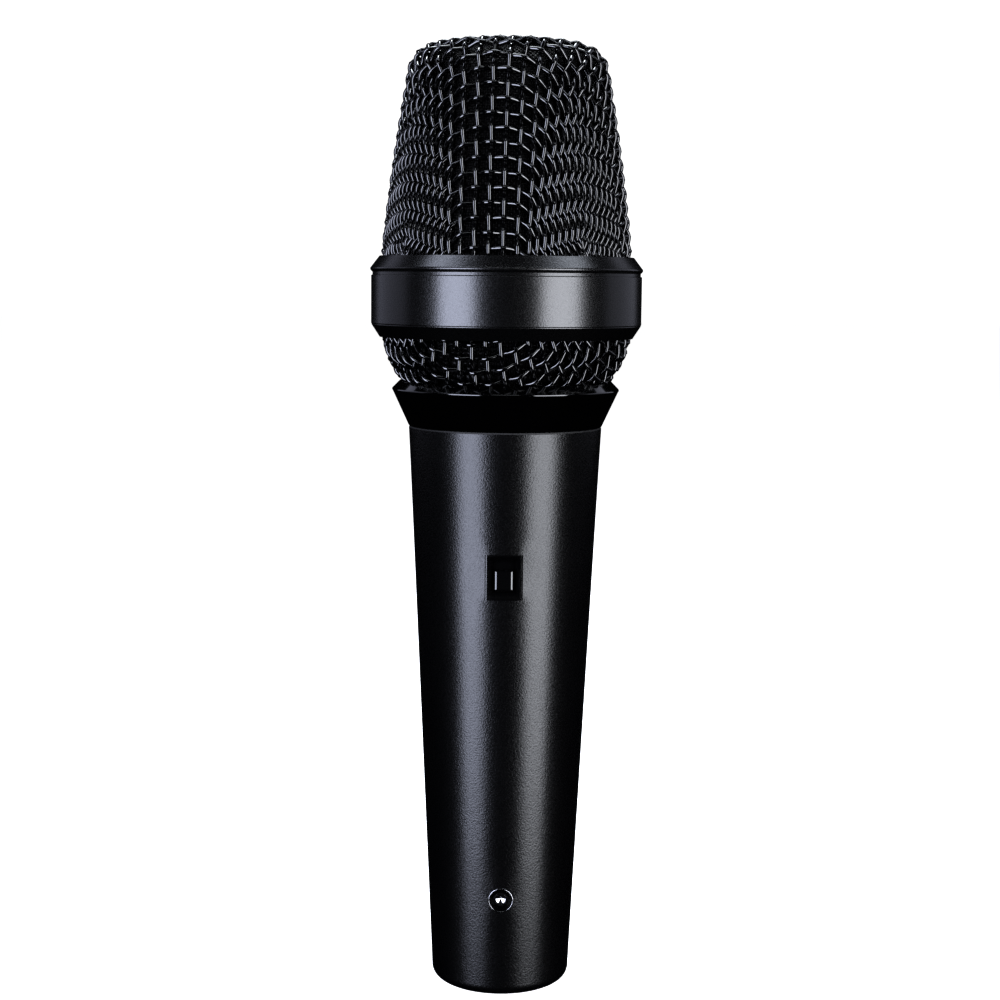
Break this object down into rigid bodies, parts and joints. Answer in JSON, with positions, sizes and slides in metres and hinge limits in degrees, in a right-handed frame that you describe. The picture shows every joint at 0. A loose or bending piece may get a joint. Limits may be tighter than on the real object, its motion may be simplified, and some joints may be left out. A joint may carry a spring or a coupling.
{
  "type": "dynamic microphone",
  "caption": "Hand-held dynamic microphone with a tapered handle, a slide switch, a woven wire head on a screw-on collar and a recessed round cable connector.",
  "frame": {"origin": "centre of the flat ring at the handle's lower end, on the microphone's own axis", "axes": "+Z runs along the handle towards the wire head, -Y is the side with the slide switch and the connector screw, +X is to the right when facing the switch"},
  "size_m": [0.0514, 0.0514, 0.1801],
  "materials": {
    "handle_paint": "satin gunmetal black paint with a fine grain",
    "ring_paint": "satin black paint",
    "collar_enamel": "gloss black enamel",
    "screen_wire": "black enamelled steel wire",
    "fine_wire": "fine black wire cloth",
    "foam": "black open-cell foam",
    "washer_fibre": "black fibre washer",
    "bezel_plastic": "black moulded plastic",
    "knob_plastic": "polished black plastic",
    "stem_plastic": "natural acetal",
    "switch_steel": "tinned steel",
    "tinned_brass": "tinned brass",
    "board_laminate": "green solder mask on laminate",
    "screw_zinc": "zinc plated steel",
    "cradle_nylon": "black glass-filled nylon",
    "barrel_nickel": "satin nickel plating",
    "insert_nylon": "black moulded nylon",
    "contact_silver": "plated brass",
    "screw_black": "black oxide steel",
    "spring_bronze": "phosphor bronze",
    "lead_red": "red wire insulation",
    "lead_blue": "blue wire insulation",
    "mount_rubber": "soft black rubber",
    "mount_plastic": "black moulded plastic",
    "can_aluminium": "satin turned aluminium",
    "tag_laminate": "brown paper laminate",
    "capsule_plastic": "dark moulded plastic",
    "port_fabric": "woven acoustic cloth",
    "motor_steel": "zinc plated soft iron",
    "magnet_nickel": "nickel plated sintered magnet",
    "clamp_brass": "turned brass",
    "felt": "grey damping felt",
    "diaphragm_film": "clear polyester film",
    "coil_copper": "enamelled copper wire"
  },
  "bodies": {
    "handle": {"handle_body": "handle_paint", "mount_seat": "mount_plastic", "shock_mount": "mount_rubber", "mount_retainer": "mount_plastic", "switch_bezel": "bezel_plastic", "switch_housing": "switch_steel", "switch_terminals": "tinned_brass", "switch_board": "board_laminate", "board_screws": "screw_zinc", "switch_cradle": "cradle_nylon", "connector_barrel": "barrel_nickel", "connector_insert": "insert_nylon", "contact_pin_ground": "contact_silver", "contact_pin_hot": "contact_silver", "contact_pin_cold": "contact_silver", "connector_screw": "screw_black", "ground_spring": "spring_bronze", "output_lead_hot": "lead_red", "output_lead_cold": "lead_blue", "capsule_lead_right": "lead_red", "capsule_lead_left": "lead_blue"},
    "switch": {"switch_knob": "knob_plastic", "switch_stem": "stem_plastic"},
    "capsule": {"capsule_can": "can_aluminium", "tag_plate": "tag_laminate", "solder_tags": "tinned_brass", "capsule_frame": "capsule_plastic", "port_cloth": "port_fabric", "yoke_cup": "motor_steel", "gap_plate": "motor_steel", "magnet": "magnet_nickel", "pole_piece": "motor_steel", "rim_clamp": "clamp_brass", "capsule_cap": "capsule_plastic", "cap_felt": "felt"},
    "diaphragm": {"diaphragm": "diaphragm_film", "voice_coil": "coil_copper"},
    "washer": {"collar_washer": "washer_fibre"},
    "head": {"upper_screen": "screen_wire", "upper_fine_screen": "fine_wire", "foam_cup": "foam", "lower_screen": "screen_wire", "lower_fine_screen": "fine_wire", "foam_skirt": "foam", "screen_bezel": "ring_paint", "head_band": "ring_paint", "lower_ring": "ring_paint", "collar": "collar_enamel"}
  },
  "joints": [
    {"name": "switch_slide", "type": "slide", "parent": "handle", "child": "switch", "axis": [0, 0, 1], "range_m": [0, 0.0015]},
    {"name": "capsule_float", "type": "slide", "parent": "handle", "child": "capsule", "axis": [0, 0, 1], "range_m": [-0.0006, 0.0006], "stiffness_N_per_m": 2500, "springref_m": 0.00013, "deforming": ["shock_mount", "capsule_lead_right", "capsule_lead_left"]},
    {"name": "diaphragm_travel", "type": "slide", "parent": "capsule", "child": "diaphragm", "axis": [0, 0, 1], "range_m": [-0.0002, 0.0002], "stiffness_N_per_m": 200, "springref_m": 0.00003},
    {"name": "head_turn", "type": "hinge", "parent": "handle", "child": "washer", "pos_m": [0, 0, 0.1076], "axis": [0, 0, 1], "range_deg": [0, 2160]},
    {"name": "head_rise", "type": "slide", "parent": "washer", "child": "head", "axis": [0, 0, 1], "range_m": [0, 0.0061]}
  ],
  "couplings": [
    {"joint": "head_rise", "follows": "head_turn", "m_per_rad": 0.00015915}
  ]
}
